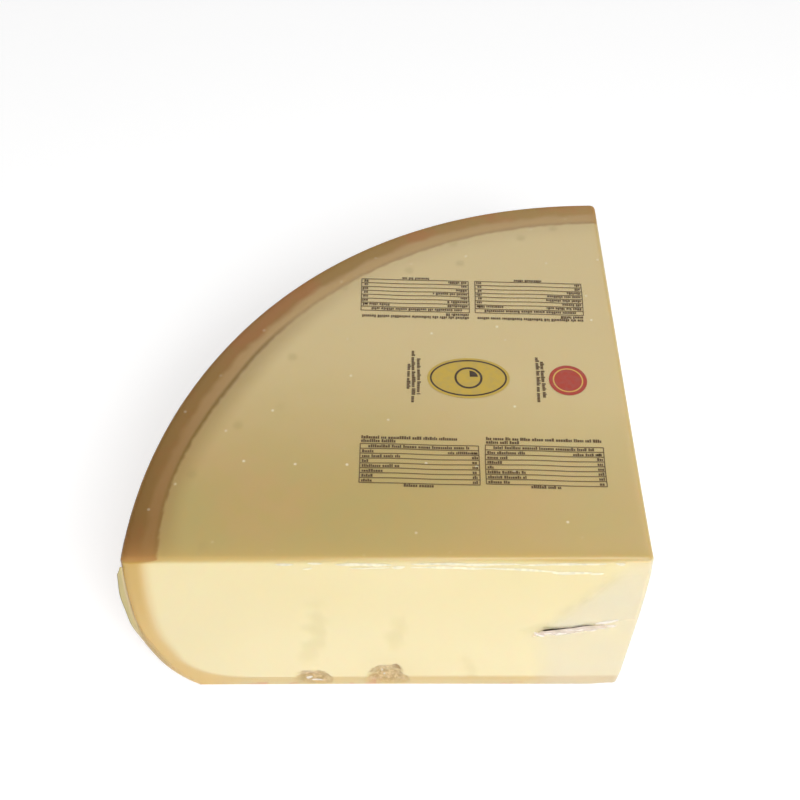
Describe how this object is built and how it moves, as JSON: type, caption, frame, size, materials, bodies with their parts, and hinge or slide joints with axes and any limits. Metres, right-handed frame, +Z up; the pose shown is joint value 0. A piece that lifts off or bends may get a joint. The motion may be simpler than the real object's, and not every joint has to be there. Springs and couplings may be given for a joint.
{
  "type": "wedge of hard cheese in clear film",
  "caption": "Quarter-round block of aged hard cheese with its rind, cut from a halved wheel and sealed in clear printed shrink film. It rests on the flat base of the rind.",
  "frame": {"origin": "middle of the bounding box on the surface that the block rests on", "axes": "+X to the right along the front cut, towards the corner where the cuts meet; +Y away from the front cut, along the right cut; +Z up, along the wheel's axis"},
  "size_m": [0.2152, 0.2114, 0.103],
  "materials": {
    "cheese": "satin",
    "film": "gloss",
    "print": "gloss"
  },
  "bodies": {
    "root": {"wrapped_wedge": "cheese"}
  },
  "joints": []
}
